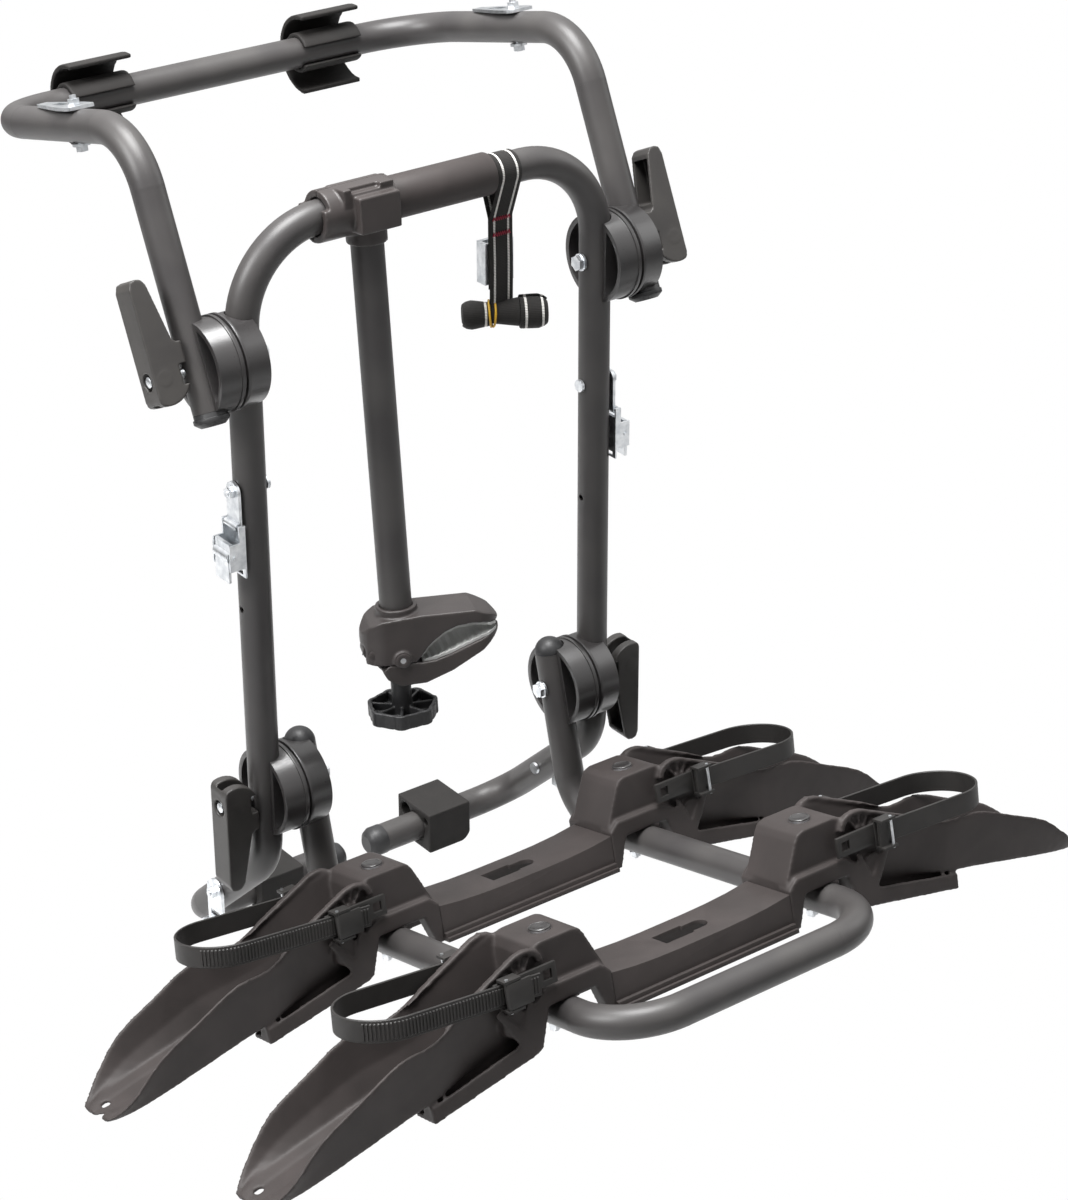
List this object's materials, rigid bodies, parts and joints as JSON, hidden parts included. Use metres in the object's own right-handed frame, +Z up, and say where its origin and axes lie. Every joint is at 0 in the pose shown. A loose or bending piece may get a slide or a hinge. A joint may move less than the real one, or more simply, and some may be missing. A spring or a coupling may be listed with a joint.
{
  "type": "trunk mounted bike rack",
  "caption": "Bent tube carrier that straps to a car's tailgate, with a folding hoop, a fork with wheel trays and a hanging frame clamp.",
  "frame": {"origin": "midway between the car side faces of the two bumper pads", "axes": "+X to the right seen from behind the car, +Y towards the car, +Z up"},
  "size_m": [0.926, 0.876, 0.8669],
  "materials": {
    "tube_paint": "satin charcoal powder coat",
    "joint_plastic": "fine grained black moulding",
    "cap_plastic": "smooth black moulding",
    "lever_plastic": "fine grained black moulding",
    "tray_plastic": "dark warm grey moulding",
    "strap_plastic": "flexible black moulding",
    "clamp_plastic": "fine grained black moulding",
    "pad_rubber": "black foam rubber",
    "liner_rubber": "light grey soft rubber",
    "zinc_steel": "bright zinc plate",
    "webbing": "woven black webbing",
    "band_rubber": "yellow rubber"
  },
  "bodies": {
    "frame": {"main_frame_tube": "tube_paint", "foot_tubes": "tube_paint", "upper_inner_discs": "joint_plastic", "lower_outer_discs": "joint_plastic", "friction_rings": "joint_plastic", "bumper_bar_caps": "cap_plastic", "top_bar_sleeve": "tray_plastic", "bumper_pads": "pad_rubber", "joint_bolts": "zinc_steel", "lower_lever_barrels": "zinc_steel", "frame_bolts": "zinc_steel", "leg_buckle_frames": "zinc_steel", "lower_anchors": "zinc_steel", "strap_buckle": "zinc_steel", "leg_buckle_tabs": "zinc_steel", "retaining_strap": "webbing", "rubber_band": "band_rubber"},
    "hoop": {"hoop_tube": "tube_paint", "hoop_end_plugs": "cap_plastic", "tailgate_pad_left": "pad_rubber", "tailgate_pad_right": "pad_rubber", "hoop_anchors": "zinc_steel", "hoop_anchor_bolts": "zinc_steel", "upper_outer_discs": "joint_plastic", "upper_lever_barrels": "zinc_steel"},
    "fork": {"fork_tube": "tube_paint", "fork_end_caps": "cap_plastic", "lower_inner_discs": "joint_plastic", "rear_tray_beam": "tray_plastic", "front_tray_beam": "tray_plastic", "rear_gutter_left": "tray_plastic", "rear_gutter_right": "tray_plastic", "front_gutter_left": "tray_plastic", "front_gutter_right": "tray_plastic", "wheel_straps": "strap_plastic", "strap_plates": "strap_plastic", "strap_loops": "strap_plastic", "strap_pins": "zinc_steel", "tray_bolts": "zinc_steel"},
    "clamp_arm": {"clamp_block": "clamp_plastic", "clamp_block_cap": "clamp_plastic", "clamp_arm_tube": "tube_paint"},
    "clamp_head": {"upper_jaw": "clamp_plastic", "upper_liner": "liner_rubber", "swing_bolt": "zinc_steel", "clamp_pins": "zinc_steel"},
    "jaw": {"lower_jaw": "clamp_plastic", "lower_liner": "liner_rubber"},
    "knob_carrier": {"knob_washer": "zinc_steel"},
    "knob": {"clamp_knob": "lever_plastic"},
    "upper_lever_left_body": {"upper_lever_left": "lever_plastic"},
    "upper_lever_right_body": {"upper_lever_right": "lever_plastic"},
    "lower_lever_left_body": {"lower_lever_left": "lever_plastic"},
    "lower_lever_right_body": {"lower_lever_right": "lever_plastic"},
    "leg_buckle_lever_left_body": {"leg_buckle_lever_left": "zinc_steel"},
    "leg_buckle_lever_right_body": {"leg_buckle_lever_right": "zinc_steel"},
    "latch_rear_left_body": {"latch_rear_left": "strap_plastic"},
    "latch_rear_right_body": {"latch_rear_right": "strap_plastic"},
    "latch_front_left_body": {"latch_front_left": "strap_plastic"},
    "latch_front_right_body": {"latch_front_right": "strap_plastic"}
  },
  "joints": [
    {"name": "hoop_tilt", "type": "hinge", "parent": "frame", "child": "hoop", "pos_m": [0, -0.18, 0.649], "axis": [-1, 0, 0], "range_deg": [-30, 95]},
    {"name": "fork_fold", "type": "hinge", "parent": "frame", "child": "fork", "pos_m": [0, -0.18, 0.21], "axis": [-1, 0, 0], "range_deg": [-15, 75]},
    {"name": "clamp_swing", "type": "hinge", "parent": "frame", "child": "clamp_arm", "pos_m": [0, -0.18, 0.759], "axis": [1, 0, 0], "range_deg": [-110, 0]},
    {"name": "head_swivel", "type": "hinge", "parent": "clamp_arm", "child": "clamp_head", "pos_m": [-0.063, -0.18, 0.759], "axis": [0, 0.0872, 0.9962], "range_deg": [-90, 90]},
    {"name": "jaw_hinge", "type": "hinge", "parent": "clamp_head", "child": "jaw", "pos_m": [-0.08767, -0.20576, 0.33864], "axis": [0.4067, 0.9101, -0.0796], "range_deg": [0, 15]},
    {"name": "knob_travel", "type": "slide", "parent": "clamp_head", "child": "knob_carrier", "axis": [0, -0.0872, -0.9962], "range_m": [0, 0.012]},
    {"name": "knob_turn", "type": "hinge", "parent": "knob_carrier", "child": "knob", "pos_m": [-0.06391, -0.21376, 0.36845], "axis": [0, 0.0872, 0.9962], "range_deg": [0, 720]},
    {"name": "upper_cam_left", "type": "hinge", "parent": "hoop", "child": "upper_lever_left_body", "pos_m": [-0.2785, -0.18, 0.649], "axis": [0, -0.907, 0.421], "range_deg": [0, 100]},
    {"name": "upper_cam_right", "type": "hinge", "parent": "hoop", "child": "upper_lever_right_body", "pos_m": [0.2785, -0.18, 0.649], "axis": [0, 0.907, -0.421], "range_deg": [0, 100]},
    {"name": "lower_cam_left", "type": "hinge", "parent": "frame", "child": "lower_lever_left_body", "pos_m": [-0.2325, -0.18, 0.21], "axis": [0, 1, 0], "range_deg": [0, 100]},
    {"name": "lower_cam_right", "type": "hinge", "parent": "frame", "child": "lower_lever_right_body", "pos_m": [0.2325, -0.18, 0.21], "axis": [0, -1, 0], "range_deg": [0, 100]},
    {"name": "leg_buckle_left", "type": "hinge", "parent": "frame", "child": "leg_buckle_lever_left_body", "pos_m": [-0.221, -0.18, 0.467], "axis": [0, 1, 0], "range_deg": [0, 45]},
    {"name": "leg_buckle_right", "type": "hinge", "parent": "frame", "child": "leg_buckle_lever_right_body", "pos_m": [0.221, -0.18, 0.467], "axis": [0, -1, 0], "range_deg": [0, 45]},
    {"name": "latch_turn_rear_left", "type": "hinge", "parent": "fork", "child": "latch_rear_left_body", "pos_m": [-0.216, -0.33657, 0.15109], "axis": [0, -0.2487, -0.9686], "range_deg": [0, 60]},
    {"name": "latch_turn_front_left", "type": "hinge", "parent": "fork", "child": "latch_front_left_body", "pos_m": [-0.216, -0.59324, 0.21699], "axis": [0, -0.2487, -0.9686], "range_deg": [0, 60]},
    {"name": "latch_turn_rear_right", "type": "hinge", "parent": "fork", "child": "latch_rear_right_body", "pos_m": [0.216, -0.24358, 0.12722], "axis": [0, -0.2487, -0.9686], "range_deg": [0, 60]},
    {"name": "latch_turn_front_right", "type": "hinge", "parent": "fork", "child": "latch_front_right_body", "pos_m": [0.216, -0.50026, 0.19312], "axis": [0, -0.2487, -0.9686], "range_deg": [0, 60]}
  ],
  "couplings": [
    {"joint": "knob_travel", "follows": "knob_turn", "m_per_rad": 0.00095493},
    {"joint": "jaw_hinge", "follows": "knob_turn", "ratio": 0.020833}
  ]
}
